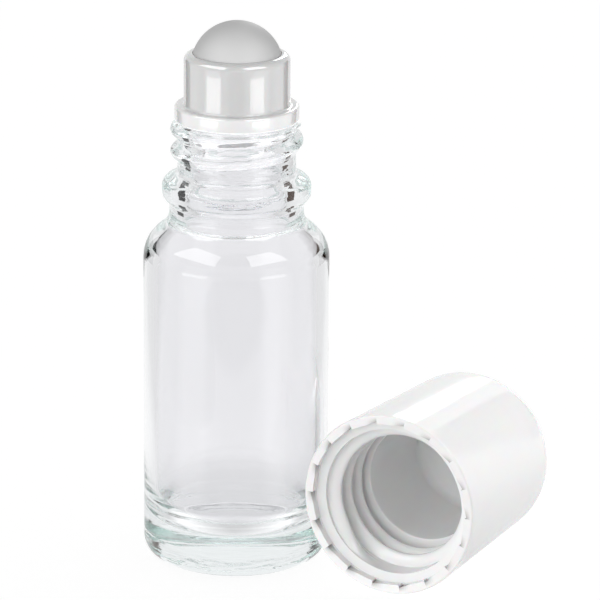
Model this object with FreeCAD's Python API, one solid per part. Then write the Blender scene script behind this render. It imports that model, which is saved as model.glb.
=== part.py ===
import FreeCAD, Part
import math
import os

# Roll-on bottle, in millimetres, +Z up. The origin is the centre of the bottle's base on the table.
# The cap lies beside the bottle, its axis along Y and its mouth towards -Y.

# Glass body
BODY_RADIUS = 12.4
BODY_WALL = 1.65
BODY_HEIGHT = 44.0  # to the corner where the side and the shoulder's slope would meet
HEEL_RADIUS = 2.6
BASE_RING_WIDTH = 0.8
PUSH_UP = 0.9
PUSH_UP_RADIUS = 5.2  # of the flat middle, to the corner under its blend
PUSH_UP_BLEND = 6.0
BASE_THICKNESS = 4.7
INNER_HEEL_RADIUS = 5.7
SHOULDER_SLOPE = 40.0  # degrees above the horizontal
SHOULDER_RADIUS = 5.0
SHOULDER_BLEND = 2.4  # where the slope meets the neck
SHOULDER_DROP = 0.65  # from the slope's top end down to the ledge inside the shoulder
INNER_LEDGE = 1.2
INNER_LEDGE_ROUND = 1.4
INNER_SHOULDER_SLOPE = 49.0
INNER_SHOULDER_RADIUS = 2.6
INNER_ROUND = 0.4  # where the bore meets the ledge

# Glass neck
LOWER_NECK_RADIUS = 8.95
LOWER_NECK_LENGTH = 2.3
LOWER_BORE_RADIUS = 6.95
BORE_TAPER_LENGTH = 2.0
COLLAR_RADIUS = 9.9
COLLAR_FLARE = 1.0
COLLAR_SIDE = 2.1
COLLAR_TOP_DROP = 0.9
COLLAR_ROUND = 1.3
NECK_RADIUS = 7.85
NECK_LENGTH = 7.2
NECK_BORE_RADIUS = 6.1
NECK_BLEND = 0.8
LIP_ROUND = 0.4

# Thread of neck and cap: one start, right-handed
THREAD_PITCH = 3.0
NECK_THREAD_HEIGHT = 0.95
CAP_THREAD_HEIGHT = 1.45
THREAD_WIDTH = 2.1
THREAD_ROOT_BITE = 0.5
RUN_OUT_RADIUS = 6.0  # of the cutter that tapers the ends of the inner thread
NECK_THREAD_START = 125.0  # degrees about +Z
NECK_THREAD_SWEEP = 690.0
NECK_THREAD_RISE = 2.3  # from the collar's top to the middle of the thread's lower end
THREAD_LIP_MARGIN = 0.1

# Roller housing
FLANGE_RADIUS = 8.25
FLANGE_HEIGHT = 2.1
FLANGE_ROUND = 0.4
HOUSING_RADIUS = 7.03
HOUSING_BLEND = 0.3
RIM_ROUND = 0.95
SOCKET_RIM_RADIUS = 5.88
SOCKET_FLOOR = 1.0
FEED_HOLE_RADIUS = 3.0
PLUG_LENGTH = 5.2
PLUG_WALL = 1.0
PLUG_CLEARANCE = 0.12
PLUG_LEAD = 0.6
RIB_COUNT = 4
RIB_SPACING = 1.05
RIB_WIDTH = 0.6
RIB_INTERFERENCE = 0.04

# Roller ball
BALL_RADIUS = 6.1
BALL_CLEARANCE = 0.06

# Screw cap
CAP_SKIRT = 11.3  # from the mouth to the step that seats on the flange
CAP_RIM_WALL = 1.25
CAP_DRAFT = 1.7  # degrees
CAP_HEADROOM = 4.2
CAP_CROWN_WALL = 2.8
CAP_CROWN_ROUND = 4.2
CAP_MOUTH_ROUND = 0.3
CAP_BORE_ROUND = 1.0
CAP_COLLAR_CLEARANCE = 1.1
CAP_COUNTERBORE_DEPTH = 1.2
CAP_LEAD_IN = 0.5
CAP_THREAD_CLEARANCE = 1.1
CAP_HOUSING_CLEARANCE = 0.97
CAP_THREAD_START = 100.0
CAP_THREAD_SWEEP = 900.0
CAP_THREAD_DEPTH = 2.9  # from the mouth to the middle of the thread's first end
RATCHET_COUNT = 18
RATCHET_DEPTH = 0.5
RATCHET_HEIGHT = 1.0
RATCHET_SHARE = 0.56  # of one tooth's pitch that is cut away
CAP_BOTTLE_GAP = 0.5
CAP_MOUTH_Y = -5.0
CUT_MARGIN = 0.2

# Heights and radii worked out from the values above
SLOPE_RISE = math.tan(math.radians(SHOULDER_SLOPE))
SHOULDER_END = BODY_HEIGHT + (BODY_RADIUS - LOWER_NECK_RADIUS) * SLOPE_RISE
COLLAR_BOTTOM = SHOULDER_END + LOWER_NECK_LENGTH
COLLAR_TOP = COLLAR_BOTTOM + COLLAR_FLARE + COLLAR_SIDE + COLLAR_TOP_DROP
LIP_HEIGHT = COLLAR_TOP + NECK_LENGTH
FLANGE_TOP = LIP_HEIGHT + FLANGE_HEIGHT
SOCKET_RADIUS = BALL_RADIUS + BALL_CLEARANCE
BALL_CENTRE = LIP_HEIGHT + SOCKET_FLOOR + SOCKET_RADIUS
RIM_TOP = BALL_CENTRE + math.sqrt(SOCKET_RADIUS ** 2 - SOCKET_RIM_RADIUS ** 2)
PLUG_RADIUS = NECK_BORE_RADIUS - PLUG_CLEARANCE
PLUG_BOTTOM = LIP_HEIGHT - PLUG_LENGTH
NECK_CREST_RADIUS = NECK_RADIUS + NECK_THREAD_HEIGHT
CAP_THREAD_ROOT = NECK_CREST_RADIUS + CAP_THREAD_CLEARANCE
CAP_BORE_RADIUS = HOUSING_RADIUS + CAP_HOUSING_CLEARANCE
CAP_COUNTERBORE_RADIUS = max(COLLAR_RADIUS, CAP_THREAD_ROOT) + CAP_COLLAR_CLEARANCE
CAP_MOUTH_RADIUS = CAP_COUNTERBORE_RADIUS + CAP_RIM_WALL
CAP_BORE_DEPTH = CAP_SKIRT + (BALL_CENTRE + BALL_RADIUS - FLANGE_TOP) + CAP_HEADROOM
CAP_LENGTH = CAP_BORE_DEPTH + CAP_CROWN_WALL
CAP_CROWN_RADIUS = CAP_MOUTH_RADIUS - CAP_LENGTH * math.tan(math.radians(CAP_DRAFT))
CAP_AXIS_X = BODY_RADIUS + CAP_BOTTLE_GAP + CAP_MOUTH_RADIUS
CAP_AXIS_HEIGHT = CAP_MOUTH_RADIUS * math.cos(math.radians(CAP_DRAFT))


def section_point(radius, height):
    """Point of a profile in the XZ plane."""
    return FreeCAD.Vector(radius, 0, height)


def corner_cut(before, corner, after, radius):
    """Ends and middle of the tangent arc that rounds one corner of a profile."""
    back = (before - corner).normalize()
    ahead = (after - corner).normalize()
    half_angle = back.getAngle(ahead) / 2
    reach = radius / math.tan(half_angle)
    middle = (back + ahead).normalize() * (radius / math.sin(half_angle) - radius)
    return corner + back * reach, corner + middle, corner + ahead * reach


def profile_wire(corners):
    """Closed wire through (radius, height, rounding) corners, with tangent arcs at the rounded ones."""
    points = [section_point(radius, height) for radius, height, rounding in corners]
    edges = []
    first = None
    last = None
    for index, (radius, height, rounding) in enumerate(corners):
        start = points[index]
        end = points[index]
        arc = None
        if rounding > 0:
            following = points[(index + 1) % len(points)]
            start, middle, end = corner_cut(points[index - 1], points[index], following, rounding)
            arc = Part.Arc(start, middle, end)
        if last is None:
            first = start
        else:
            edges.append(Part.LineSegment(last, start).toShape())
        if arc is not None:
            edges.append(arc.toShape())
        last = end
    edges.append(Part.LineSegment(last, first).toShape())
    return Part.Wire(edges)


def turned(corners):
    """Solid of revolution about Z of a rounded profile."""
    face = Part.Face(profile_wire(corners))
    return face.revolve(FreeCAD.Vector(0, 0, 0), FreeCAD.Vector(0, 0, 1), 360)


def thread_section(root, crest):
    """Rounded section of a thread ridge in the XZ plane, from inside the wall at root to its crest."""
    side = math.copysign(1, crest - root)
    foot = root - side * THREAD_ROOT_BITE
    lower = section_point(foot, -THREAD_WIDTH / 2)
    upper = section_point(foot, THREAD_WIDTH / 2)
    arc = Part.Arc(lower, section_point(crest, 0), upper).toShape()
    return Part.Wire([arc, Part.LineSegment(upper, lower).toShape()])


def run_out(root, crest):
    """Cutter that takes a ridge down to its wall at +X: a flat ramp outside a wall, a round one inside it."""
    low = -THREAD_PITCH / 2
    if crest > root:
        reach = 2 * root
        return Part.makeBox(reach, reach, THREAD_PITCH, FreeCAD.Vector(root, -root, low))
    return Part.makeCylinder(RUN_OUT_RADIUS, THREAD_PITCH, FreeCAD.Vector(root - RUN_OUT_RADIUS, 0, low))


def thread_ridge(root, crest, start_angle, sweep, start_height):
    """Helical ridge on a round wall, with a run-out at each end."""
    rise = THREAD_PITCH * sweep / 360
    axis = FreeCAD.Vector(0, 0, 1)
    path = Part.makeHelix(THREAD_PITCH, rise, root)
    sweeper = Part.BRepOffsetAPI.MakePipeShell(Part.Wire(path.Edges))
    sweeper.setFrenetMode(True)
    sweeper.add(thread_section(root, crest))
    sweeper.build()
    sweeper.makeSolid()
    last_cutter = run_out(root, crest)
    last_cutter.rotate(FreeCAD.Vector(0, 0, 0), axis, sweep)
    last_cutter.translate(axis * rise)
    ridge = sweeper.shape().cut([run_out(root, crest), last_cutter])
    ridge.rotate(FreeCAD.Vector(0, 0, 0), axis, start_angle)
    ridge.translate(axis * start_height)
    return ridge


def glass_bottle():
    """Glass body, shoulder, collar and threaded neck, hollow from lip to base."""
    inner_radius = BODY_RADIUS - BODY_WALL
    inner_neck = SHOULDER_END - SHOULDER_DROP
    inner_rise = math.tan(math.radians(INNER_SHOULDER_SLOPE))
    ledge_radius = LOWER_BORE_RADIUS + INNER_LEDGE
    inner_shoulder = inner_neck - (inner_radius - ledge_radius) * inner_rise
    ring_inner = BODY_RADIUS - HEEL_RADIUS - BASE_RING_WIDTH
    profile = [
        (0, PUSH_UP, 0),
        (PUSH_UP_RADIUS, PUSH_UP, PUSH_UP_BLEND),
        (ring_inner, 0, 0),
        (BODY_RADIUS, 0, HEEL_RADIUS),
        (BODY_RADIUS, BODY_HEIGHT, SHOULDER_RADIUS),
        (LOWER_NECK_RADIUS, SHOULDER_END, SHOULDER_BLEND),
        (LOWER_NECK_RADIUS, COLLAR_BOTTOM, NECK_BLEND),
        (COLLAR_RADIUS, COLLAR_BOTTOM + COLLAR_FLARE, COLLAR_ROUND),
        (COLLAR_RADIUS, COLLAR_TOP - COLLAR_TOP_DROP, COLLAR_ROUND),
        (NECK_RADIUS, COLLAR_TOP, NECK_BLEND),
        (NECK_RADIUS, LIP_HEIGHT, LIP_ROUND),
        (NECK_BORE_RADIUS, LIP_HEIGHT, LIP_ROUND),
        (NECK_BORE_RADIUS, COLLAR_BOTTOM + BORE_TAPER_LENGTH, NECK_BLEND),
        (LOWER_BORE_RADIUS, COLLAR_BOTTOM, NECK_BLEND),
        (LOWER_BORE_RADIUS, inner_neck, INNER_ROUND),
        (ledge_radius, inner_neck, INNER_LEDGE_ROUND),
        (inner_radius, inner_shoulder, INNER_SHOULDER_RADIUS),
        (inner_radius, BASE_THICKNESS, INNER_HEEL_RADIUS),
        (0, BASE_THICKNESS, 0),
    ]
    thread_start = COLLAR_TOP + NECK_THREAD_RISE
    ridge = thread_ridge(NECK_RADIUS, NECK_CREST_RADIUS, NECK_THREAD_START, NECK_THREAD_SWEEP, thread_start)
    trim_height = LIP_HEIGHT - THREAD_LIP_MARGIN
    above_lip = Part.makeCylinder(NECK_CREST_RADIUS + CUT_MARGIN, NECK_LENGTH, section_point(0, trim_height))
    return turned(profile).fuse(ridge.cut(above_lip))


def plug_profile():
    """Corners of the plug's ribbed outside, from its bottom up to the flange."""
    corners = [
        (PLUG_RADIUS - PLUG_WALL, PLUG_BOTTOM, 0),
        (PLUG_RADIUS - PLUG_WALL / 2, PLUG_BOTTOM, 0),
        (PLUG_RADIUS, PLUG_BOTTOM + PLUG_LEAD, 0),
    ]
    for index in range(RIB_COUNT):
        middle = PLUG_BOTTOM + PLUG_LEAD + RIB_SPACING * (index + 0.5)
        corners.append((PLUG_RADIUS, middle - RIB_WIDTH / 2, 0))
        corners.append((NECK_BORE_RADIUS + RIB_INTERFERENCE, middle, 0))
        corners.append((PLUG_RADIUS, middle + RIB_WIDTH / 2, 0))
    return corners


def roller_housing():
    """Housing with the ball's socket, the flange on the lip, the plug in the neck and the feed hole."""
    profile = plug_profile() + [
        (PLUG_RADIUS, LIP_HEIGHT, 0),
        (FLANGE_RADIUS, LIP_HEIGHT, FLANGE_ROUND),
        (FLANGE_RADIUS, FLANGE_TOP, FLANGE_ROUND),
        (HOUSING_RADIUS, FLANGE_TOP, HOUSING_BLEND),
        (HOUSING_RADIUS, RIM_TOP, RIM_ROUND),
        (0, RIM_TOP, 0),
        (0, LIP_HEIGHT, 0),
        (PLUG_RADIUS - PLUG_WALL, LIP_HEIGHT, 0),
    ]
    socket = Part.makeSphere(SOCKET_RADIUS, section_point(0, BALL_CENTRE))
    feed_hole = Part.makeCylinder(FEED_HOLE_RADIUS, BALL_CENTRE - PLUG_BOTTOM, section_point(0, PLUG_BOTTOM))
    return turned(profile).cut([socket, feed_hole])


def roller_ball():
    """Ball held in the socket with running clearance."""
    return Part.makeSphere(BALL_RADIUS, section_point(0, BALL_CENTRE))


def ratchet_notches():
    """Saw-tooth notches round the mouth's inner edge: one sharp end each, tapering to the wall."""
    pitch = 360 / RATCHET_COUNT
    inner = CAP_COUNTERBORE_RADIUS - CUT_MARGIN
    outer = CAP_COUNTERBORE_RADIUS + RATCHET_DEPTH
    far_angle = -math.radians(pitch * RATCHET_SHARE)
    far = FreeCAD.Vector(math.cos(far_angle), math.sin(far_angle), 0) * CAP_COUNTERBORE_RADIUS
    corners = [FreeCAD.Vector(inner, 0, 0), FreeCAD.Vector(outer, 0, 0), far, FreeCAD.Vector(inner, 0, 0)]
    tooth = Part.Face(Part.makePolygon(corners)).extrude(FreeCAD.Vector(0, 0, RATCHET_HEIGHT + CUT_MARGIN))
    tooth.translate(FreeCAD.Vector(0, 0, -CUT_MARGIN))
    notches = []
    for index in range(RATCHET_COUNT):
        notch = tooth.copy()
        notch.rotate(FreeCAD.Vector(0, 0, 0), FreeCAD.Vector(0, 0, 1), pitch * index)
        notches.append(notch)
    return notches


def laid_down(cap):
    """Cap turned onto its tapered side on the table, its mouth towards -Y."""
    cap.rotate(FreeCAD.Vector(0, 0, 0), FreeCAD.Vector(1, 0, 0), -90 - CAP_DRAFT)
    cap.translate(FreeCAD.Vector(CAP_AXIS_X, CAP_MOUTH_Y, CAP_AXIS_HEIGHT))
    return cap


def screw_cap():
    """Cap with a tapered side, an inner thread, a seat for the flange and room for housing and ball."""
    lead_in_depth = CAP_COUNTERBORE_DEPTH + CAP_LEAD_IN
    profile = [
        (CAP_COUNTERBORE_RADIUS, 0, 0),
        (CAP_MOUTH_RADIUS, 0, CAP_MOUTH_ROUND),
        (CAP_CROWN_RADIUS, CAP_LENGTH, CAP_CROWN_ROUND),
        (0, CAP_LENGTH, 0),
        (0, CAP_BORE_DEPTH, 0),
        (CAP_BORE_RADIUS, CAP_BORE_DEPTH, CAP_BORE_ROUND),
        (CAP_BORE_RADIUS, CAP_SKIRT, 0),
        (CAP_THREAD_ROOT, CAP_SKIRT, 0),
        (CAP_THREAD_ROOT, lead_in_depth, 0),
        (CAP_COUNTERBORE_RADIUS, CAP_COUNTERBORE_DEPTH, 0),
    ]
    crest = CAP_THREAD_ROOT - CAP_THREAD_HEIGHT
    ridge = thread_ridge(CAP_THREAD_ROOT, crest, CAP_THREAD_START, CAP_THREAD_SWEEP, CAP_THREAD_DEPTH)
    return laid_down(turned(profile).cut(ratchet_notches()).fuse(ridge))


def main():
    """Build each piece and write it as its own file."""
    os.makedirs("parts", exist_ok=True)
    pieces = {
        "glass_bottle": glass_bottle(),
        "roller_housing": roller_housing(),
        "roller_ball": roller_ball(),
        "screw_cap": screw_cap(),
    }
    for name, shape in pieces.items():
        shape.exportStep("parts/" + name + ".step")
        box = shape.BoundBox
        print(name, "solids", len(shape.Solids), "valid", shape.isValid(), "volume", round(shape.Volume, 1))
        print("  x", round(box.XMin, 2), round(box.XMax, 2), "y", round(box.YMin, 2), round(box.YMax, 2))
        print("  z", round(box.ZMin, 2), round(box.ZMax, 2))


main()
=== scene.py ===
"""Looks of a roll-on bottle: clear glass, a glossy roller housing, its matte ball and a white screw cap.

Everything is in metres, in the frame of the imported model: +Z up, with the middle of the bottle's base
on the floor at the origin and the cap lying beside it.
"""

from __future__ import annotations

import logging
import math
from collections.abc import Callable, Mapping, Sequence
from dataclasses import dataclass
from enum import Enum
from typing import ClassVar

import bpy
from mathutils import Matrix, Vector


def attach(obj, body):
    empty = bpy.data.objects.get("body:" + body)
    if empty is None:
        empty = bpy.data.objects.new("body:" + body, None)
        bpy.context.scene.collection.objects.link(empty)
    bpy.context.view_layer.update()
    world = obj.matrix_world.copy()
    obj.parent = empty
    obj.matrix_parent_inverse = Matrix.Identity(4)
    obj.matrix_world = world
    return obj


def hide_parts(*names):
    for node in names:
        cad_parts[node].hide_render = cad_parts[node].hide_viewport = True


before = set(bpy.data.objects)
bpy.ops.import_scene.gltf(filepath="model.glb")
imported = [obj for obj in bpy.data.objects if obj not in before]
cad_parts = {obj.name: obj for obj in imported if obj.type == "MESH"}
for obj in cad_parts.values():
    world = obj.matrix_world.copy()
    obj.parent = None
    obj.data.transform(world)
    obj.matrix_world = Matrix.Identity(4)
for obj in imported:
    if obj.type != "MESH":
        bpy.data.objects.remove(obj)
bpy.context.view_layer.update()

MM = 0.001
ON_AXIS = 1e-9
RECESS = "recess_depth"
LOG = logging.getLogger("roll_on_bottle")

Colour = tuple[float, float, float, float]
Point = tuple[float, float]


def grey(level: float) -> Colour:
    """Opaque neutral colour of one linear level."""
    return (level, level, level, 1.0)


def math_method(operation: str, swapped: bool = False) -> Callable[..., Term]:
    """Method of a term that adds a Math node.

    Args:
        operation: The node's operation.
        swapped: Whether the term comes after the other value, as with a number on its left.

    Returns:
        The method, which takes the operation's other values.
    """

    def method(self: Term, *others: Term | float) -> Term:
        """Add the node."""
        values = (*others, self) if swapped else (self, *others)
        return self.graph.node("ShaderNodeMath", {"operation": operation}, dict(enumerate(values)))

    return method


class Term:
    """An output socket that takes part in Python expressions, each of which adds a Math node."""

    __add__ = math_method("ADD")
    __radd__ = math_method("ADD", swapped=True)
    __sub__ = math_method("SUBTRACT")
    __rsub__ = math_method("SUBTRACT", swapped=True)
    __mul__ = math_method("MULTIPLY")
    __rmul__ = math_method("MULTIPLY", swapped=True)
    __truediv__ = math_method("DIVIDE")
    __pow__ = math_method("POWER")
    size = math_method("ABSOLUTE")
    rounded = math_method("ROUND")
    fraction = math_method("FRACT")
    at_least = math_method("MAXIMUM")
    angle_to = math_method("ARCTAN2")

    def __init__(self, graph: Graph, socket: bpy.types.NodeSocket) -> None:
        """Wrap one socket of one graph."""
        self.graph = graph
        self.socket = socket

    def output(self, name: str) -> Term:
        """Another output of the same node."""
        return Term(self.graph, self.socket.node.outputs[name])

    def clamped(self) -> Term:
        """This term held between 0 and 1."""
        return self.graph.node("ShaderNodeClamp", sockets={"Value": self})


Value = Term | float | int | bool | Sequence[float] | bpy.types.Material


class Graph:
    """A node tree, with one method that adds any node to it."""

    def __init__(self, tree: bpy.types.NodeTree) -> None:
        """Start on an emptied tree."""
        self.tree = tree
        tree.nodes.clear()

    def node(
        self,
        kind: str,
        settings: Mapping[str, object] | None = None,
        sockets: Mapping[str | int, Value] | None = None,
        output: str | int = 0,
    ) -> Term:
        """Add a node.

        Args:
            kind: The node's type.
            settings: Its properties, set first.
            sockets: Its inputs by name or number: a term is linked, anything else is set as the value.
            output: The output that the returned term stands for.

        Returns:
            The chosen output, or a term on the first input if the node has no outputs.
        """
        made = self.tree.nodes.new(kind)
        for name, value in (settings or {}).items():
            setattr(made, name, value)
        for key, value in (sockets or {}).items():
            if isinstance(value, Term):
                self.tree.links.new(value.socket, made.inputs[key])
            else:
                made.inputs[key].default_value = value
        return Term(self, made.outputs[output] if made.outputs else made.inputs[0])

    def vector(self, operation: str, first: Value, second: Value, output: str | int = 0) -> Term:
        """A Vector Math node on two values."""
        return self.node("ShaderNodeVectorMath", {"operation": operation}, {0: first, 1: second}, output)

    def place(self) -> Term:
        """Object coordinates."""
        return self.node("ShaderNodeTexCoord", output="Object")

    def height(self) -> Term:
        """Height in Object coordinates."""
        return self.node("ShaderNodeSeparateXYZ", sockets={0: self.place()}).output("Z")

    def noise(self, size: float, detail: float = 2.0, place: Term | None = None) -> Term:
        """Noise value, from 0 to 1 around 0.5.

        Args:
            size: Size of one blotch, in metres.
            detail: Octaves of finer noise.
            place: Coordinates, which are the Object ones if none are given.

        Returns:
            The noise.
        """
        sockets = {"Vector": place or self.place(), "Scale": 1 / size, "Detail": detail}
        return self.node("ShaderNodeTexNoise", sockets=sockets)

    def tinted(self, mask: Term, low: Colour | Term, high: Colour | Term) -> Term:
        """Colour that goes from low to high with a mask."""
        return self.node("ShaderNodeMix", {"data_type": "RGBA"}, {0: mask, 6: low, 7: high}, output=2)

    def bump(self, height: Term, distance: float) -> Term:
        """Normal of a surface with small heights, where a height of 1 measures the distance."""
        return self.node("ShaderNodeBump", sockets={"Height": height, "Distance": distance, "Strength": 1.0})


class Reach(Enum):
    """What a lamp shows in: only mirror-like surfaces, or only matte ones."""

    MIRRORED = (False, True)
    MATTE = (True, False)


class Relief(Enum):
    """Mesh attribute that says how far a relief reaches at each vertex."""

    THREAD = "thread_mask"
    NOTCH = "notch_mask"


@dataclass(frozen=True)
class Corner:
    """Corner of a turned profile.

    Attributes:
        radius: Distance from the axis.
        height: Height along the axis.
        rounding: Radius of the arc that rounds the corner.
        rows: Pieces of the straight run that follows.
        relief: Relief that the corner and the run carry.
    """

    radius: float
    height: float
    rounding: float = 0.0
    rows: int = 1
    relief: Relief | None = None


@dataclass(frozen=True)
class Row:
    """One ring of a turned mesh."""

    radius: float
    height: float
    relief: Relief | None = None


class Profile:
    """Outline of a turned piece, walked with the solid on its left."""

    ARC_STEP = math.radians(9.0)

    def __init__(self, corners: Sequence[Corner], closed: bool = False) -> None:
        """Take corners that run from axis to axis, or round a closed section."""
        self.corners = corners
        self.closed = closed

    def rows(self) -> list[Row]:
        """Rings along the outline, with arcs at the rounded corners and evenly split runs between them."""
        ends = [self._rounded(index) for index in range(len(self.corners))]
        rows: list[Row] = []
        for index, corner in enumerate(self.corners):
            rows += [Row(radius, height, corner.relief) for radius, height in ends[index]]
            if index + 1 == len(self.corners) and not self.closed:
                break
            start = ends[index][-1]
            stop = ends[(index + 1) % len(ends)][0]
            for piece in range(1, corner.rows):
                share = piece / corner.rows
                place = [a + (b - a) * share for a, b in zip(start, stop)]
                rows.append(Row(place[0], place[1], corner.relief))
        return rows

    def _rounded(self, index: int) -> list[Point]:
        """Points of one corner: itself, or the arc that rounds it.

        Args:
            index: The corner's number.

        Returns:
            Points in walking order.
        """
        corner = self.corners[index]
        here = Vector((corner.radius, corner.height))
        if corner.rounding == 0:
            return [tuple(here)]
        count = len(self.corners)
        before, after = (self.corners[(index + step) % count] for step in (-1, 1))
        back = (Vector((before.radius, before.height)) - here).normalized()
        ahead = (Vector((after.radius, after.height)) - here).normalized()
        half = back.angle(ahead) / 2
        centre = here + (back + ahead).normalized() * corner.rounding / math.sin(half)
        first = here + back * corner.rounding / math.tan(half) - centre
        turn = first.angle_signed(here + ahead * corner.rounding / math.tan(half) - centre)
        steps = max(2, math.ceil(abs(turn) / self.ARC_STEP))
        return [tuple(centre + Matrix.Rotation(-turn * k / steps, 2) @ first) for k in range(steps + 1)]


def even_angles(count: int) -> list[float]:
    """Angles of evenly spaced columns round the axis."""
    return [2 * math.pi * index / count for index in range(count)]


def turned_mesh(
    name: str, rows: Sequence[Row], angles: Sequence[float], closed: bool = False
) -> bpy.types.Mesh:
    """Turn rings of a profile about Z into a closed mesh.

    Args:
        name: The mesh's name.
        rows: The rings, walked with the solid on the left. A ring of no radius is one vertex on the axis.
        angles: Angles of the columns.
        closed: Whether the last ring joins the first.

    Returns:
        The mesh, with one mask attribute for each relief that the rings carry.
    """
    count = len(angles)
    vertices: list[tuple[float, float, float]] = []
    masks: list[Relief | None] = []
    rings: list[list[int]] = []
    for row in rows:
        on_axis = row.radius < ON_AXIS
        first = len(vertices)
        for angle in angles[:1] if on_axis else angles:
            vertices.append((row.radius * math.cos(angle), row.radius * math.sin(angle), row.height))
            masks.append(row.relief)
        rings.append([first] * count if on_axis else list(range(first, first + count)))
    faces: list[tuple[int, ...]] = []
    for lower, upper in zip(rings, rings[1:] + rings[:1] if closed else rings[1:]):
        for column in range(count):
            following = (column + 1) % count
            corners = (lower[column], lower[following], upper[following], upper[column])
            faces.append(tuple(dict.fromkeys(corners)))
    mesh = bpy.data.meshes.new(name)
    mesh.from_pydata(vertices, [], faces)
    for relief in Relief:
        if relief in masks:
            attribute = mesh.attributes.new(relief.value, "FLOAT", "POINT")
            attribute.data.foreach_set("value", [float(mask is relief) for mask in masks])
    return mesh


class ShapeTree:
    """A Geometry Nodes tree with named inputs, run once on a mesh."""

    name: ClassVar[str]
    inputs: ClassVar[tuple[str, ...]]
    recess: ClassVar[bool] = False

    def offset(self, graph: Graph, given: Mapping[str, Term]) -> Term:
        """Distance by which the surface moves away from the axis, in metres.

        Args:
            graph: The tree.
            given: The named inputs.

        Returns:
            The distance at each vertex.
        """
        raise NotImplementedError

    @staticmethod
    def turn_and_height(graph: Graph, start: Term) -> tuple[Term, Term]:
        """Turns round the axis from a start, and height along it, at each vertex."""
        place = graph.node("ShaderNodeSeparateXYZ", sockets={0: graph.node("GeometryNodeInputPosition")})
        return place.output("Y").angle_to(place) / (2 * math.pi) - start, place.output("Z")

    @staticmethod
    def mask(graph: Graph, relief: Relief) -> Term:
        """How far a relief reaches at each vertex."""
        return graph.node("GeometryNodeInputNamedAttribute", {"data_type": "FLOAT"}, {"Name": relief.value})

    def run(
        self, mesh: bpy.types.Mesh, values: Mapping[str, float], material: bpy.types.Material
    ) -> bpy.types.Mesh:
        """Shape a mesh.

        Args:
            mesh: The mesh, which is used up.
            values: Value of each named input.
            material: Material of the result.

        Returns:
            The new plain mesh.
        """
        tree = bpy.data.node_groups.new(self.name, "GeometryNodeTree")
        graph = Graph(tree)
        tree.interface.new_socket("Geometry", in_out="INPUT", socket_type="NodeSocketGeometry")
        sockets = {
            key: tree.interface.new_socket(key, in_out="INPUT", socket_type="NodeSocketFloat")
            for key in self.inputs
        }
        tree.interface.new_socket("Geometry", in_out="OUTPUT", socket_type="NodeSocketGeometry")
        entry = graph.node("NodeGroupInput")
        distance = self.offset(graph, {key: entry.output(key) for key in self.inputs})
        position = graph.node("GeometryNodeInputPosition")
        flat = graph.vector("MULTIPLY", position, (1, 1, 0))
        outward = graph.node("ShaderNodeVectorMath", {"operation": "NORMALIZE"}, {0: flat})
        move = graph.node("ShaderNodeVectorMath", {"operation": "SCALE"}, {0: outward, "Scale": distance})
        moved = graph.node("GeometryNodeSetPosition", sockets={"Geometry": entry, "Offset": move})
        # The depth stored here drives the painted shade of the notches in the cap's material.
        if self.recess:
            kind = {"data_type": "FLOAT", "domain": "POINT"}
            kept = {"Geometry": moved, "Name": RECESS, "Value": distance / MM}
            moved = graph.node("GeometryNodeStoreNamedAttribute", kind, kept)
        real = graph.node("GeometryNodeRealizeInstances", sockets={"Geometry": moved})
        dressed = graph.node("GeometryNodeSetMaterial", sockets={"Geometry": real, "Material": material})
        graph.node("NodeGroupOutput", sockets={"Geometry": dressed})
        return self._applied(mesh, tree, {sockets[key].identifier: value for key, value in values.items()})

    def _applied(
        self, mesh: bpy.types.Mesh, tree: bpy.types.NodeTree, values: Mapping[str, float]
    ) -> bpy.types.Mesh:
        """Evaluate the tree on a mesh.

        Args:
            mesh: The mesh.
            tree: The tree.
            values: Input values by socket identifier.

        Returns:
            The evaluated mesh.
        """
        helper = bpy.data.objects.new(mesh.name + "_shaping", mesh)
        link(helper)
        modifier = helper.modifiers.new(self.name, "NODES")
        modifier.node_group = tree
        for identifier, value in values.items():
            modifier[identifier] = value
        evaluated = helper.evaluated_get(bpy.context.evaluated_depsgraph_get())
        shaped = bpy.data.meshes.new_from_object(evaluated)
        helper.modifiers.remove(modifier)
        bpy.data.objects.remove(helper)
        return shaped


class ThreadTree(ShapeTree):
    """Raises a helical thread with soft flanks and tapered ends on a round wall."""

    name = "screw_thread"
    inputs = ("Pitch", "Crest", "Half Width", "Start Height", "Start Turn", "Turns", "Taper")
    FLANK_POWER = 1.2

    def offset(self, graph: Graph, given: Mapping[str, Term]) -> Term:
        """Height of the ridge above its wall, from the place along and across the helix."""
        angle, height = self.turn_and_height(graph, given["Start Turn"])
        turn = angle.fraction()
        level = (height - given["Start Height"]) / given["Pitch"] - turn
        whole = level.rounded()
        along = whole + turn
        aside = (level - whole) * given["Pitch"] / given["Half Width"]
        flank = (1 - aside * aside).at_least(0.0) ** self.FLANK_POWER
        rise = (along / given["Taper"]).clamped() * ((given["Turns"] - along) / given["Taper"]).clamped()
        soft = rise * rise * (3 - 2 * rise)
        return flank * soft * given["Crest"] * self.mask(graph, Relief.THREAD)


class NotchTree(ShapeTree):
    """Cuts saw-tooth notches into a round wall: one steep end each, tapering to the wall."""

    name = "ratchet_notches"
    inputs = ("Count", "Depth", "Share", "Start Turn")
    recess = True

    def offset(self, graph: Graph, given: Mapping[str, Term]) -> Term:
        """Depth of the notches, from the place within one tooth."""
        turn, _ = self.turn_and_height(graph, given["Start Turn"])
        within = (turn * given["Count"]).fraction()
        cut = ((within - 1) / given["Share"] + 1).at_least(0.0)
        return cut * given["Depth"] * self.mask(graph, Relief.NOTCH)


def new_material(name: str) -> tuple[bpy.types.Material, Graph]:
    """An empty node material and its graph."""
    made = bpy.data.materials.new(name)
    made.use_nodes = True
    return made, Graph(made.node_tree)


def link(made: bpy.types.Object) -> None:
    """Put an object into the scene."""
    bpy.context.scene.collection.objects.link(made)


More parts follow.
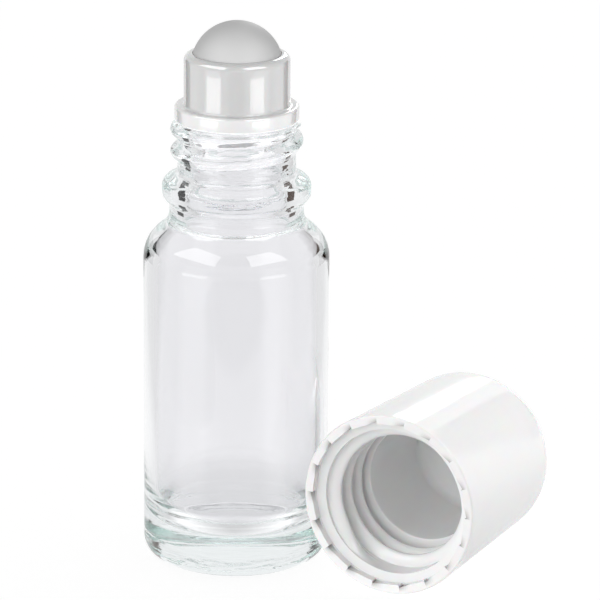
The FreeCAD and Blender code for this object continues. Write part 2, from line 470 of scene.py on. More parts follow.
@dataclass(frozen=True)
class Finish:
    """A named surface finish."""

    name: str

    def material(self) -> bpy.types.Material:
        """Make the finish's node material."""
        made, graph = new_material(self.name)
        graph.node("ShaderNodeOutputMaterial", sockets=self.surface(graph))
        return made

    def surface(self, graph: Graph) -> dict[str, Term]:
        """Shaders for the material's output.

        Args:
            graph: The material's tree.

        Returns:
            Terms by the output's socket names.
        """
        raise NotImplementedError


@dataclass(frozen=True)
class GlassFinish(Finish):
    """Clear moulded glass: faint waves from the mould and a green tint where it is thick.

    Attributes:
        skin: Colour that light keeps at each wall.
        tint: Colour that light keeps on its way through thick glass.
        density: Strength of that tint, per metre.
        ior: Index of refraction.
        wave_size: Size of the mould's waves, in metres.
        wave_height: Height of the waves, in metres.
        haze: Roughness of the least polished spots.
        ripple_size: Length of the ripples where neck and base were pressed, in metres.
        ripple_height: Height of those ripples, in metres.
        ripple_above: Height from which the neck has them.
        ripple_below: Height below which the base has them.
        base_share: Height of the base's ripples against the neck's.
    """

    skin: Colour = (0.929, 0.926, 0.942, 1.0)
    tint: Colour = (0.72, 0.93, 0.88, 1.0)
    density: float = 8.0
    ior: float = 1.5
    wave_size: float = 5.0 * MM
    wave_height: float = 0.012 * MM
    haze: float = 0.012
    ripple_size: float = 3.0 * MM
    ripple_height: float = 0.07 * MM
    ripple_above: float = 50.3 * MM
    ripple_below: float = 4.0 * MM
    base_share: float = 1.8
    ripple_edge: ClassVar[float] = 1.5 * MM
    ripple_squeeze: ClassVar[float] = 5.0

    def _ripples(self, graph: Graph) -> Term:
        """Flat-lying ripples that fade out along the smooth wall between neck and base."""
        height = graph.height()
        squeezed = graph.vector("MULTIPLY", graph.place(), (1.0, 1.0, self.ripple_squeeze))
        waves = graph.noise(self.ripple_size, 1.0, squeezed)
        neck = ((height - self.ripple_above) / self.ripple_edge).clamped()
        base = ((self.ripple_below - height) / self.ripple_edge).clamped()
        return waves * neck.at_least(base * self.base_share)

    def surface(self, graph: Graph) -> dict[str, Term]:
        """Refracting surface with mould waves, and absorption inside."""
        waves = graph.noise(self.wave_size, 1.0) * self.wave_height
        ripples = self._ripples(graph) * self.ripple_height
        shader = graph.node(
            "ShaderNodeBsdfPrincipled",
            sockets={
                "Base Color": self.skin,
                "Roughness": graph.noise(self.wave_size / 2) * self.haze,
                "IOR": self.ior,
                "Transmission Weight": 1.0,
                "Normal": graph.bump((waves + ripples) / MM, MM),
            },
        )
        depth = {"Color": self.tint, "Density": self.density}
        inside = graph.node("ShaderNodeVolumeAbsorption", sockets=depth)
        return {"Surface": shader, "Volume": inside}


@dataclass(frozen=True)
class PlasticFinish(Finish):
    """Moulded plastic, with faint clouding of its colour and a fine grain in its surface.

    Attributes:
        colour: Mean colour.
        cloud: Share by which the colour varies.
        roughness: Mean roughness.
        grain_size: Size of the surface's grain, in metres.
        grain_height: Height of the grain, in metres.
        ior: Index of refraction.
        coat: Weight of the clear outer skin.
        bleed: Weight of the light that scatters inside.
        thin_below: Height below which the wall is thin.
        thin_cover: Share of the light that the thin wall stops.
        pale_below: Height below which the colour is the pale one.
        pale: Colour of that lower end.
        painted_glow_below: Height below which the plastic shows painted glow: emitted light in place of
            light that comes through the glass and the wall.
        glow: Level of that painted glow.
        painted_recess_shade: Share of the colour that is lost where a recess is deepest: painted shade in
            place of the shadow that falls in the notches.
    """

    colour: Colour
    cloud: float
    roughness: float
    grain_size: float
    grain_height: float
    ior: float = 1.5
    coat: float = 0.0
    bleed: float = 0.0
    thin_below: float = 0.0
    thin_cover: float = 1.0
    pale_below: float = 0.0
    pale: Colour = grey(1.0)
    painted_glow_below: float = 0.0
    glow: float = 0.0
    painted_recess_shade: float = 0.0
    cloud_size: ClassVar[float] = 4.0 * MM
    coat_roughness: ClassVar[float] = 0.04
    polish_spread: ClassVar[tuple[float, float]] = (0.85, 1.15)
    bleed_reach: ClassVar[float] = 0.8 * MM
    thin_edge: ClassVar[float] = 0.4 * MM

    def surface(self, graph: Graph) -> dict[str, Term]:
        """Plastic with clouded colour, grain, an optional glossy skin, an optional clear lower end, optional
        painted glow and optional painted shade in recesses.
        """
        grain = graph.noise(self.grain_size, 3.0)
        low, high = self.polish_spread
        shader = graph.node(
            "ShaderNodeBsdfPrincipled",
            {"subsurface_method": "RANDOM_WALK"},
            {
                "Base Color": self._colour(graph),
                "Roughness": self.roughness * (low + (high - low) * grain),
                "IOR": self.ior,
                "Coat Weight": self.coat,
                "Coat Roughness": self.coat_roughness,
                "Subsurface Weight": self.bleed,
                "Subsurface Scale": self.bleed_reach,
                "Alpha": self._cover(graph),
                **self._painted_glow(graph),
                "Normal": graph.bump(grain, self.grain_height),
            },
        )
        return {"Surface": shader}

    def _above(self, graph: Graph, height: float) -> Term:
        """Mask of what lies above a height."""
        return ((graph.height() - height) / self.thin_edge + 0.5).clamped()

    def _painted_glow(self, graph: Graph) -> dict[str, Value]:
        """Sockets for the painted glow of the lower end, emitted in place of light that comes through the
        wall, if it has any.
        """
        if self.glow == 0:
            return {}
        # Painted glow: below the height the plastic emits light, in place of light that comes through the
        # glass and the wall.
        above = self._above(graph, self.painted_glow_below)
        return {"Emission Color": graph.tinted(above, grey(self.glow), grey(0.0)), "Emission Strength": 1.0}

    def _colour(self, graph: Graph) -> Term:
        """Clouded colour, with its pale lower end and painted shade in its recesses."""
        darker = tuple(channel * (1 - self.cloud) for channel in self.colour[:3]) + (1.0,)
        colour = graph.tinted(graph.noise(self.cloud_size), darker, self.colour)
        if self.pale_below > 0:
            colour = graph.tinted(self._above(graph, self.pale_below), self.pale, colour)
        if self.painted_recess_shade > 0:
            # Painted shade: the colour darkens with the depth of each notch, in place of the shadow that
            # falls in it.
            depth = graph.node("ShaderNodeAttribute", {"attribute_name": RECESS}, output="Fac")
            colour = graph.tinted((depth * self.painted_recess_shade).clamped(), colour, grey(0.0))
        return colour

    def _cover(self, graph: Graph) -> Term | float:
        """Share of the light that the plastic stops: less below the height where it turns thin."""
        if self.thin_cover == 1.0:
            return 1.0
        return self.thin_cover + (1 - self.thin_cover) * self._above(graph, self.thin_below)


class Piece:
    """One piece of the object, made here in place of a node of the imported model."""

    node: ClassVar[str]
    body: ClassVar[str]
    slot: ClassVar[str]
    SHARP = math.radians(32.0)

    def finish(self) -> Finish:
        """The piece's finish."""
        raise NotImplementedError

    def shape(self, material: bpy.types.Material) -> bpy.types.Mesh:
        """The piece's mesh, in its place.

        Args:
            material: The material that it is made of.

        Returns:
            The mesh.
        """
        raise NotImplementedError

    def place(self) -> bpy.types.Object:
        """Build and dress the piece, and let it ride on its body."""
        material = self.finish().material()
        mesh = self.shape(material)
        mesh.shade_smooth()
        mesh.set_sharp_from_angle(angle=self.SHARP)
        if not mesh.materials:
            mesh.materials.append(material)
        for relief in Relief:
            if relief.value in mesh.attributes:
                mesh.attributes.remove(mesh.attributes[relief.value])
        made = bpy.data.objects.new(self.node + "_look", mesh)
        link(made)
        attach(made, self.body)
        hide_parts(self.node)
        LOG.info("%s: %d faces", made.name, len(mesh.polygons))
        return made


@dataclass(frozen=True)
class GlassBottle(Piece):
    """Glass body, shoulder, collar and threaded neck as one closed surface."""

    node: ClassVar[str] = "glass_bottle"
    body: ClassVar[str] = "bottle"
    slot: ClassVar[str] = "clear_glass"

    body_radius: float = 12.4 * MM
    body_wall: float = 1.65 * MM
    body_height: float = 44.0 * MM
    heel_radius: float = 2.6 * MM
    ring_width: float = 0.8 * MM
    push_up: float = 0.9 * MM
    push_up_radius: float = 5.2 * MM
    push_up_blend: float = 6.0 * MM
    base_thickness: float = 4.7 * MM
    inner_heel_radius: float = 5.7 * MM
    shoulder_slope: float = math.radians(40.0)
    shoulder_radius: float = 5.0 * MM
    shoulder_blend: float = 2.4 * MM
    shoulder_drop: float = 0.65 * MM
    inner_ledge: float = 1.2 * MM
    inner_slope: float = math.radians(49.0)
    inner_shoulder_radius: float = 2.6 * MM
    inner_ledge_round: float = 1.4 * MM
    lower_neck_radius: float = 8.95 * MM
    lower_neck_length: float = 2.3 * MM
    lower_bore_radius: float = 6.95 * MM
    bore_taper: float = 2.0 * MM
    collar_radius: float = 9.9 * MM
    collar_flare: float = 1.0 * MM
    collar_side: float = 2.1 * MM
    collar_top_drop: float = 0.9 * MM
    collar_round: float = 1.3 * MM
    neck_radius: float = 7.85 * MM
    neck_length: float = 7.2 * MM
    neck_bore_radius: float = 6.1 * MM
    blend: float = 0.8 * MM
    inner_round: float = 0.4 * MM
    lip_round: float = 0.4 * MM
    thread_pitch: float = 3.0 * MM
    thread_crest: float = 0.95 * MM
    thread_half_width: float = 1.4 * MM
    thread_start: float = 125.0 / 360
    thread_turns: float = 690.0 / 360
    thread_taper: float = 0.2
    thread_rise: float = 2.3 * MM
    columns: int = 224

    @property
    def slope_end(self) -> float:
        """Height where the shoulder's slope meets the neck."""
        run = self.body_radius - self.lower_neck_radius
        return self.body_height + run * math.tan(self.shoulder_slope)

    @property
    def collar_bottom(self) -> float:
        """Height of the collar's lower edge."""
        return self.slope_end + self.lower_neck_length

    @property
    def collar_top(self) -> float:
        """Height of the collar's upper edge."""
        return self.collar_bottom + self.collar_flare + self.collar_side + self.collar_top_drop

    @property
    def lip_height(self) -> float:
        """Height of the glass."""
        return self.collar_top + self.neck_length

    def finish(self) -> Finish:
        """Clear glass."""
        return GlassFinish("clear_moulded_glass")

    def outline(self) -> list[Corner]:
        """Corners from the middle of the base, up the outside and down the inside."""
        inner = self.body_radius - self.body_wall
        inner_neck = self.slope_end - self.shoulder_drop
        ledge = self.lower_bore_radius + self.inner_ledge
        inner_shoulder = inner_neck - (inner - ledge) * math.tan(self.inner_slope)
        ring_inner = self.body_radius - self.heel_radius - self.ring_width
        return [
            Corner(0, self.push_up, rows=3),
            Corner(self.push_up_radius, self.push_up, self.push_up_blend),
            Corner(ring_inner, 0),
            Corner(self.body_radius, 0, self.heel_radius, rows=12),
            Corner(self.body_radius, self.body_height, self.shoulder_radius, rows=2),
            Corner(self.lower_neck_radius, self.slope_end, self.shoulder_blend),
            Corner(self.lower_neck_radius, self.collar_bottom, self.blend),
            Corner(self.collar_radius, self.collar_bottom + self.collar_flare, self.collar_round),
            Corner(self.collar_radius, self.collar_top - self.collar_top_drop, self.collar_round),
            Corner(self.neck_radius, self.collar_top, self.blend, rows=72, relief=Relief.THREAD),
            Corner(self.neck_radius, self.lip_height, self.lip_round),
            Corner(self.neck_bore_radius, self.lip_height, self.lip_round, rows=4),
            Corner(self.neck_bore_radius, self.collar_bottom + self.bore_taper, self.blend),
            Corner(self.lower_bore_radius, self.collar_bottom, self.blend),
            Corner(self.lower_bore_radius, inner_neck, self.inner_round),
            Corner(ledge, inner_neck, self.inner_ledge_round),
            Corner(inner, inner_shoulder, self.inner_shoulder_radius, rows=12),
            Corner(inner, self.base_thickness, self.inner_heel_radius, rows=4),
            Corner(0, self.base_thickness),
        ]

    def shape(self, material: bpy.types.Material) -> bpy.types.Mesh:
        """Turn the outline and raise the thread on the neck."""
        mesh = turned_mesh(self.node, Profile(self.outline()).rows(), even_angles(self.columns))
        thread = {
            "Pitch": self.thread_pitch,
            "Crest": self.thread_crest,
            "Half Width": self.thread_half_width,
            "Start Height": self.collar_top + self.thread_rise,
            "Start Turn": self.thread_start,
            "Turns": self.thread_turns,
            "Taper": self.thread_taper,
        }
        return ThreadTree().run(mesh, thread, material)


@dataclass(frozen=True)
class RollerHousing(Piece):
    """Housing with the ball's socket, a flange on the glass and a ribbed plug in the neck."""

    node: ClassVar[str] = "roller_housing"
    body: ClassVar[str] = "bottle"
    slot: ClassVar[str] = "housing_plastic"

    lip_height: float
    bore_radius: float
    ball_radius: float
    flange_radius: float = 8.25 * MM
    flange_height: float = 2.1 * MM
    flange_round: float = 0.4 * MM
    radius: float = 7.03 * MM
    foot_blend: float = 0.3 * MM
    rim_round: float = 0.95 * MM
    socket_clearance: float = 0.06 * MM
    socket_rim_radius: float = 5.88 * MM
    socket_floor: float = 1.0 * MM
    feed_hole_radius: float = 3.0 * MM
    plug_length: float = 5.2 * MM
    plug_wall: float = 1.0 * MM
    plug_clearance: float = 0.12 * MM
    plug_lead: float = 0.6 * MM
    rib_count: int = 4
    rib_spacing: float = 1.05 * MM
    rib_width: float = 0.6 * MM
    rib_clearance: float = 0.03 * MM
    rib_round: float = 0.1 * MM
    thin_drop: float = 0.4 * MM
    painted_glow_rise: float = 0.1 * MM
    socket_rows: int = 16
    columns: int = 160

    @property
    def socket_radius(self) -> float:
        """Radius of the ball's socket."""
        return self.ball_radius + self.socket_clearance

    @property
    def ball_centre(self) -> float:
        """Height of the ball's middle."""
        return self.lip_height + self.socket_floor + self.socket_radius

    def finish(self) -> Finish:
        """Glossy natural plastic."""
        return PlasticFinish(
            "glossy_natural_plastic",
            colour=grey(0.66),
            cloud=0.03,
            roughness=0.12,
            grain_size=0.5 * MM,
            grain_height=0.0006 * MM,
            ior=1.75,
            coat=1.0,
            bleed=0.1,
            thin_below=self.lip_height - self.thin_drop,
            thin_cover=0.12,
            # Painted glow: the plastic below the lip emits light, in place of light that reaches the plug
            # through the glass.
            painted_glow_below=self.lip_height + self.painted_glow_rise,
            glow=0.8,
            pale_below=self.lip_height + self.flange_height,
            pale=grey(0.86),
        )

    def plug(self) -> list[Corner]:
        """Corners of the plug's ribbed outside, from its bottom up."""
        outer = self.bore_radius - self.plug_clearance
        bottom = self.lip_height - self.plug_length
        corners = [
            Corner(outer - self.plug_wall, bottom),
            Corner(outer - self.plug_wall / 2, bottom),
            Corner(outer, bottom + self.plug_lead),
        ]
        for index in range(self.rib_count):
            middle = bottom + self.plug_lead + self.rib_spacing * (index + 0.5)
            corners += [
                Corner(outer, middle - self.rib_width / 2),
                Corner(self.bore_radius - self.rib_clearance, middle, self.rib_round),
                Corner(outer, middle + self.rib_width / 2),
            ]
        return corners

    @property
    def rim_angle(self) -> float:
        """Angle of the socket's rim from the axis, seen from the ball's middle."""
        return math.asin(self.socket_rim_radius / self.socket_radius)

    def socket(self) -> list[Corner]:
        """Points down the round socket, from its rim to the feed hole."""
        low = math.pi - math.asin(self.feed_hole_radius / self.socket_radius)
        step = (low - self.rim_angle) / self.socket_rows
        angles = [self.rim_angle + step * index for index in range(self.socket_rows + 1)]
        return [
            Corner(self.socket_radius * math.sin(a), self.ball_centre + self.socket_radius * math.cos(a))
            for a in angles
        ]

    def shape(self, material: bpy.types.Material) -> bpy.types.Mesh:
        """Turn the section."""
        outer = self.bore_radius - self.plug_clearance
        flange_top = self.lip_height + self.flange_height
        rim_top = self.ball_centre + self.socket_radius * math.cos(self.rim_angle)
        corners = [
            *self.plug(),
            Corner(outer, self.lip_height),
            Corner(self.flange_radius, self.lip_height, self.flange_round),
            Corner(self.flange_radius, flange_top, self.flange_round),
            Corner(self.radius, flange_top, self.foot_blend, rows=4),
            Corner(self.radius, rim_top, self.rim_round),
            *self.socket(),
            Corner(self.feed_hole_radius, self.lip_height),
            Corner(outer - self.plug_wall, self.lip_height, rows=4),
        ]
        rows = Profile(corners, closed=True).rows()
        return turned_mesh(self.node, rows, even_angles(self.columns), closed=True)


@dataclass(frozen=True)
class RollerBall(Piece):
    """Ball in the socket, in rings that run evenly from pole to pole."""

    node: ClassVar[str] = "roller_ball"
    body: ClassVar[str] = "ball"
    slot: ClassVar[str] = "ball_plastic"

    radius: float
    centre: float
    rings: int = 64
    columns: int = 128

    def finish(self) -> Finish:
        """Matte plastic."""
        return PlasticFinish(
            "matte_ball_plastic",
            colour=grey(0.68),
            cloud=0.05,
            roughness=0.55,
            grain_size=0.25 * MM,
            grain_height=0.003 * MM,
        )

    def shape(self, material: bpy.types.Material) -> bpy.types.Mesh:
        """Turn the half circle."""
        rows = []
        for index in range(self.rings + 1):
            angle = math.pi * index / self.rings
            radius = self.radius * math.sin(angle) if 0 < index < self.rings else 0.0
            rows.append(Row(radius, self.centre - self.radius * math.cos(angle)))
        return turned_mesh(self.node, rows, even_angles(self.columns))


@dataclass(frozen=True)
class ScrewCap(Piece):
    """Cap with a tapered side, an inner thread and notches round its mouth, lying on its side."""

    node: ClassVar[str] = "screw_cap"
    body: ClassVar[str] = "cap"
    slot: ClassVar[str] = "cap_plastic"

    axis_x: float = 25.15 * MM
    mouth_y: float = -5.0 * MM
    mouth_radius: float = 12.25 * MM
    counterbore_radius: float = 11.0 * MM
    counterbore_depth: float = 1.2 * MM
    lead_in: float = 0.5 * MM
    thread_root: float = 9.9 * MM
    bore_radius: float = 8.0 * MM
    skirt: float = 11.3 * MM
    bore_depth: float = 26.66 * MM
    length: float = 29.46 * MM
    draft: float = math.radians(1.7)
    crown_round: float = 4.2 * MM
    mouth_round: float = 0.3 * MM
    inner_round: float = 0.2 * MM
    bore_round: float = 1.0 * MM
    thread_pitch: float = 3.0 * MM
    thread_crest: float = 1.45 * MM
    thread_half_width: float = 1.2 * MM
    thread_start: float = 100.0 / 360
    thread_turns: float = 900.0 / 360
    thread_taper: float = 0.15
    thread_depth: float = 2.9 * MM
    notch_count: int = 18
    notch_depth: float = 0.34 * MM
    notch_height: float = 1.0 * MM
    notch_share: float = 0.42
    notch_ledge: float = 0.02 * MM
    notch_end: float = 0.006
    notch_columns: int = 14

    def finish(self) -> Finish:
        """Glossy white plastic."""
        return PlasticFinish(
            "glossy_white_plastic",
            colour=grey(0.9),
            cloud=0.02,
            roughness=0.12,
            grain_size=0.6 * MM,
            grain_height=0.0008 * MM,
            ior=1.45,
            bleed=0.25,
            # Painted shade in the mouth's notches, darker where they are deeper.
            painted_recess_shade=1.6,
        )

    def outline(self) -> list[Corner]:
        """Corners from the bore's end, out through the mouth at height 0 and up the outside."""
        crown_radius = self.mouth_radius - self.length * math.tan(self.draft)
        notch = Relief.NOTCH
        return [
            Corner(0, self.bore_depth, rows=3),
            Corner(self.bore_radius, self.bore_depth, self.bore_round, rows=4),
            Corner(self.bore_radius, self.skirt, self.inner_round),
            Corner(self.thread_root, self.skirt, self.inner_round, rows=80, relief=Relief.THREAD),
            Corner(self.thread_root, self.counterbore_depth + self.lead_in),
            Corner(self.counterbore_radius, self.counterbore_depth),
            Corner(self.counterbore_radius, self.notch_height + self.notch_ledge),
            Corner(self.counterbore_radius, self.notch_height, relief=notch),
            Corner(self.counterbore_radius, 0, relief=notch),
            Corner(self.mouth_radius, 0, self.mouth_round, rows=8),
            Corner(crown_radius, self.length, self.crown_round, rows=3),
            Corner(0, self.length),
        ]

    def angles(self) -> list[float]:
        """Columns round the axis: even within each tooth, with a close pair at its steep end."""
        pitch = 2 * math.pi / self.notch_count
        steep = self.notch_end * pitch
        step = (pitch - 2 * steep) / (self.notch_columns - 1)
        within = [steep + step * index for index in range(self.notch_columns)]
        return [tooth * pitch + angle for tooth in range(self.notch_count) for angle in within]

    def shape(self, material: bpy.types.Material) -> bpy.types.Mesh:
        """Turn the outline, raise the thread, cut the notches and lay the cap on its side."""
        mesh = turned_mesh(self.node, Profile(self.outline()).rows(), self.angles())
        thread = {
            "Pitch": self.thread_pitch,
            "Crest": -self.thread_crest,
            "Half Width": self.thread_half_width,
            "Start Height": self.thread_depth,
            "Start Turn": self.thread_start,
            "Turns": self.thread_turns,
            "Taper": self.thread_taper,
        }
        notches = {
            "Count": float(self.notch_count),
            "Depth": self.notch_depth,
            "Share": self.notch_share,
            "Start Turn": 0.0,
        }
        mesh = ThreadTree().run(mesh, thread, material)
        mesh = NotchTree().run(mesh, notches, material)
        axis_height = self.mouth_radius * math.cos(self.draft)
        lying = Matrix.Rotation(-math.pi / 2 - self.draft, 4, "X")
        mesh.transform(Matrix.Translation((self.axis_x, self.mouth_y, axis_height)) @ lying)
        return mesh


@dataclass(frozen=True)
class Lamp:
    """Rectangular lamp that faces the bottle's axis.

    Attributes:
        name: Its name.
        turn: Degrees to the right of the camera's direction, round the axis.
        distance: From the axis, in metres.
        height: Height of its middle, in metres.
        size: Its width and height, in metres.
        radiance: Its brightness, where white paper is 1.
        reach: What it shows in.
        lights: Nodes of the only pieces that it falls on, or none if it falls on all.
    """

    name: str
    turn: float
    distance: float
    height: float
    size: Point
    radiance: float
    reach: Reach
    lights: tuple[str, ...] = ()


STANDING = (GlassBottle.node, RollerHousing.node, RollerBall.node)
HOUSING = (RollerHousing.node,)
CAP = (ScrewCap.node,)
LAMPS = (
    Lamp("low_left_box", -49.5, 0.16, 0.0255, (0.095, 0.015), 1.85, Reach.MIRRORED),
    Lamp("low_right_box", 44.5, 0.16, 0.0255, (0.09, 0.015), 2.05, Reach.MIRRORED),
    Lamp("high_left_box", -60.0, 0.2, 0.29, (0.26, 0.26), 3.2, Reach.MIRRORED),
    Lamp("high_right_box", 46.0, 0.2, 0.29, (0.2, 0.26), 3.4, Reach.MIRRORED),
    Lamp("front_fill", 0.0, 0.5, 0.06, (0.4, 0.3), 5.5, Reach.MATTE, STANDING),
    Lamp("cap_key", -35.0, 0.35, 0.15, (0.4, 0.4), 2.5, Reach.MATTE, CAP),
    Lamp("cap_fill", 100.0, 0.25, 0.2, (0.3, 0.3), 2.6, Reach.MATTE, CAP),
    Lamp("left_fill", -100.0, 0.3, 0.07, (0.2, 0.2), 2.0, Reach.MATTE, HOUSING),
    Lamp("right_fill", 100.0, 0.3, 0.07, (0.2, 0.2), 2.0, Reach.MATTE, HOUSING),
    Lamp("back_strip", 168.8, 0.5097, 0.27, (0.11, 0.2), 6.0, Reach.MIRRORED),
)


@dataclass(frozen=True)
class Studio:
    """Camera, floor, lamps and dark boards, laid out along the camera's line of sight.

    Attributes:
        azimuth: Direction of the camera round the bottle.
        pitch: Angle by which it looks down.
        roll: Turn about its own axis.
        distance: From the camera to its target.
        target_right: The target's place to the right of the bottle's axis.
        target_height: The target's height.
        focal_pixels: Focal length in pixels of the frame.
        frame_pixels: Width of the frame in pixels.
        sensor: Width of the sensor, in Blender's millimetres.
        front_ambient: Light from the camera's side, where white is 1.
        back_ambient: Light from the other side.
        front_sight: What reflections and refractions see on the camera's side.
        back_sight: What they see on the other side.
        near_level: Level of the floor just before the object, as they see it.
        near_fall: Length over which the floor goes from that level to white.
        sheet_front: Where the floor ends in the dark before the object, as they see it.
        sheet_edge: Width of that edge.
        sheet_half: Half the width of that dark.
        side_level: Level of the floor well to the object's sides, as they see it.
        side_start: Where the floor starts to fall to that level, from the bottle's axis.
        side_fall: Length over which it falls.
        painted_field_inner: Slope of the inner edges of two painted fields of light on the floor before the
            object, which only reflections show.
        painted_field_outer: Slope of their outer edges.
        painted_light_gain: Level of painted light that they add to the floor.
        floor_glow: Share of the floor's white that doesn't depend on the lamps.
        floor_level: Level of that share, which brings the lit floor to white.
        floor_size: Width of the floor.
        paper: Level of the floor's own white.
        board_far: Distance aside and away of the dark boards' far edges.
        board_near: Distance aside and away of their near edges.
        board_heights: Heights of their lower and upper edges.
        board_colours: Colours of the left and the right board.
        bounces: Most bounces of a light path.
    """

    azimuth: float = math.radians(26.5)
    pitch: float = math.radians(17.13)
    roll: float = math.radians(0.47)
    distance: float = 540.0 * MM
    target_right: float = 8.51 * MM
    target_height: float = 35.55 * MM
    focal_pixels: float = 4043.0
    frame_pixels: float = 600.0
    sensor: float = 36.0
    front_ambient: float = 0.25
    back_ambient: float = 0.72
    front_sight: float = 0.3
    back_sight: float = 1.0
    near_level: float = 0.55
    near_fall: float = 0.08
    sheet_front: float = 0.1
    sheet_edge: float = 0.012
    sheet_half: float = 0.085
    side_level: float = 0.8
    side_start: float = 0.04
    side_fall: float = 0.02
    painted_field_inner: float = math.tan(math.radians(36.0))
    painted_field_outer: float = math.tan(math.radians(72.0))
    painted_light_gain: float = 0.5
    floor_glow: float = 0.8
    floor_level: float = 1.145
    floor_size: float = 2.4
    paper: float = 0.9
    board_far: Point = (0.086, 0.102)
    board_near: Point = (0.118, 0.063)
    board_heights: Point = (0.014, 0.09)
    board_colours: tuple[Colour, Colour] = (grey(0.03), (0.07, 0.04, 0.03, 1.0))
    bounces: int = 40

    def along(self, right: float, away: float, height: float) -> Vector:
        """Place from its distances to the camera's right, away from the camera and above the floor.

        Args:
            right: To the right of the bottle's axis, in metres.
            away: Away from the camera, in metres.
            height: Above the floor, in metres.

        Returns:
            The place in the model's frame.
        """
        sine, cosine = math.sin(self.azimuth), math.cos(self.azimuth)
        return Vector((right * cosine - away * sine, right * sine + away * cosine, height))

    def camera(self) -> None:
        """Put the camera where the photograph was taken from."""
        right = self.along(1, 0, 0)
        forward = self.along(0, math.cos(self.pitch), -math.sin(self.pitch))
        up = right.cross(forward)
        turned_right = right * math.cos(self.roll) + up * math.sin(self.roll)
        turned_up = up * math.cos(self.roll) - right * math.sin(self.roll)
        place = self.along(self.target_right, 0, self.target_height) - forward * self.distance
        facing = Matrix((turned_right, turned_up, -forward)).transposed().to_4x4()
        made = bpy.data.objects.new("camera", bpy.data.cameras.new("camera"))
        made.data.sensor_width = self.sensor
        made.data.lens = self.focal_pixels / self.frame_pixels * self.sensor
        made.matrix_world = Matrix.Translation(place) @ facing
        link(made)
        bpy.context.scene.camera = made

    def world(self) -> None:
        """White for the camera, and a plain level of light that falls off towards the camera's side."""
        made = bpy.data.worlds.new("studio")
        made.use_nodes = True
        graph = Graph(made.node_tree)
        path = graph.node("ShaderNodeLightPath")
        sharp = path.output("Is Glossy Ray").at_least(path.output("Is Transmission Ray"))
        facing = graph.node("ShaderNodeTexCoord", output="Generated")
        back = 0.5 + 0.5 * self._measured(graph, facing, self.along(0, 1, 0))
        front_level = self.front_ambient + (self.front_sight - self.front_ambient) * sharp
        back_level = self.back_ambient + (self.back_sight - self.back_ambient) * sharp
        level = front_level + (back_level - front_level) * back
        shown = path + (1 - path) * level
        light = graph.node("ShaderNodeBackground", sockets={"Color": grey(1.0), "Strength": shown})
        graph.node("ShaderNodeOutputWorld", sockets={"Surface": light})
        bpy.context.scene.world = made

    @staticmethod
    def _measured(graph: Graph, place: Term, direction: Vector) -> Term:
        """Distance of a place along a direction."""
        return graph.vector("DOT_PRODUCT", place, direction, "Value")

    def floor(self) -> None:
        """Wide white floor that keeps the object's soft shadow; reflections see it darker near and beside
        the object, ending in the dark before it, with two painted fields of light.
        """
        half = self.floor_size / 2
        square = ((-half, -half), (half, -half), (half, half), (-half, half))
        made, graph = new_material("white_floor")
        place = graph.place()
        away = self._measured(graph, place, self.along(0, 1, 0))
        aside = self._measured(graph, place, self.along(1, 0, 0)).size()

        def inside(distance: Term) -> Term:
            """Mask of where a distance to an edge is above 0."""
            return (distance / self.sheet_edge + 0.5).clamped()

        dark = inside(-self.sheet_front - away) * inside(self.sheet_half - aside)
        beside = ((aside - self.side_start) / self.side_fall).clamped()
        near = 1 - (0.5 + away / self.near_fall).clamped()
        shade = (1 - (1 - self.near_level) * near) * (1 - (1 - self.side_level) * beside) * (1 - dark)
        path = graph.node("ShaderNodeLightPath")
        # Painted light: two fields on the floor in front, brighter only for reflections, in place of the
        # lamps' pools of light on the paper.
        fields = inside(aside + away * self.painted_field_inner) * inside(0 - away * self.painted_field_outer - aside)
        painted_light = fields * path.output("Is Glossy Ray") * self.painted_light_gain
        level = (path + (1 - path) * (shade + painted_light)) * self.floor_level
        glow = graph.node("ShaderNodeEmission", sockets={"Color": grey(1.0), "Strength": level})
        paper = graph.node("ShaderNodeBsdfDiffuse", sockets={"Color": grey(self.paper)})
        mixed = graph.node("ShaderNodeMixShader", sockets={0: self.floor_glow, 1: paper, 2: glow})
        graph.node("ShaderNodeOutputMaterial", sockets={"Surface": mixed})
        self._board("floor", [self.along(x, y, 0) for x, y in square], made)

    @staticmethod
    def _board(name: str, corners: Sequence[Vector], material: bpy.types.Material) -> bpy.types.Object:
        """Flat stage piece.

        Args:
            name: Its name.
            corners: Its outline.
            material: Its material.

        Returns:
            The object.
        """
        mesh = bpy.data.meshes.new(name)
        mesh.from_pydata(corners, [], [range(len(corners))])
        mesh.materials.append(material)
        made = bpy.data.objects.new(name, mesh)
        link(made)
        return made

    def dark_board(self, name: str, side: int, colour: Colour) -> None:
        """Dark upright board that only reflections and refractions show.

        Args:
            name: Its name.
            side: -1 on the left and 1 on the right.
            colour: Its colour.
        """
        material, graph = new_material(name)
        glow = graph.node("ShaderNodeEmission", sockets={"Color": colour, "Strength": 1.0})
        graph.node("ShaderNodeOutputMaterial", sockets={"Surface": glow})
        low, high = self.board_heights
        far, near = self.board_far, self.board_near
        edges = ((far, low), (near, low), (near, high), (far, high))
        corners = [self.along(side * right, away, height) for (right, away), height in edges]
        board = self._board(name, corners, material)
        board.visible_camera = False
        board.visible_diffuse = False
        board.visible_shadow = False

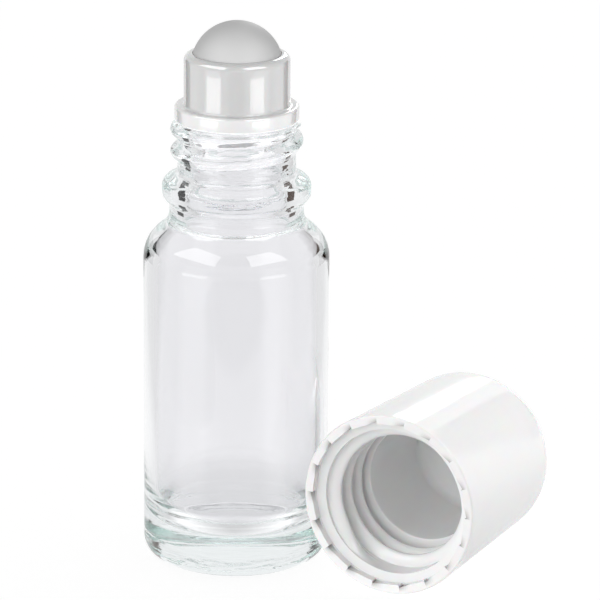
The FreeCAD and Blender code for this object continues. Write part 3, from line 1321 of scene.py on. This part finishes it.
    def lamp(self, lamp: Lamp, pieces: Mapping[str, bpy.types.Object]) -> None:
        """Hang a lamp, which falls only on the pieces that it names, and they alone shade one another.

        Args:
            lamp: The lamp.
            pieces: The pieces by their nodes.
        """
        light = bpy.data.lights.new(lamp.name, "AREA")
        light.shape = "RECTANGLE"
        light.size, light.size_y = lamp.size
        light.energy = lamp.radiance * math.pi * light.size * light.size_y
        angle = math.radians(lamp.turn)
        inward = self.along(-math.sin(angle), math.cos(angle), 0)
        place = Vector((0, 0, lamp.height)) - inward * lamp.distance
        made = bpy.data.objects.new(lamp.name, light)
        made.matrix_world = Matrix.Translation(place) @ inward.to_track_quat("-Z", "Y").to_matrix().to_4x4()
        made.visible_camera = False
        made.visible_diffuse, made.visible_glossy = lamp.reach.value
        made.visible_transmission = False
        link(made)
        if lamp.lights:
            group = bpy.data.collections.new(lamp.name + "_pieces")
            for node in lamp.lights:
                group.objects.link(pieces[node])
            made.light_linking.receiver_collection = group
            made.light_linking.blocker_collection = group

    def build(self, pieces: Mapping[str, bpy.types.Object]) -> None:
        """Set up the whole studio.

        Args:
            pieces: The object's pieces by their nodes.
        """
        scene = bpy.context.scene
        scene.view_settings.view_transform = "Standard"
        scene.cycles.max_bounces = self.bounces
        scene.cycles.glossy_bounces = self.bounces
        scene.cycles.transmission_bounces = self.bounces
        self.camera()
        self.world()
        self.floor()
        for lamp in LAMPS:
            self.lamp(lamp, pieces)
        for name, side, colour in zip(("left_board", "right_board"), (-1, 1), self.board_colours):
            self.dark_board(name, side, colour)


def main() -> None:
    """Build the pieces and the studio in order."""
    logging.basicConfig(level=logging.INFO)
    ball_radius = 6.1 * MM
    bottle = GlassBottle()
    housing = RollerHousing(
        lip_height=bottle.lip_height, bore_radius=bottle.neck_bore_radius, ball_radius=ball_radius
    )
    ball = RollerBall(radius=ball_radius, centre=housing.ball_centre)
    Studio().build({piece.node: piece.place() for piece in (bottle, housing, ball, ScrewCap())})


if __name__ == "__main__":
    main()
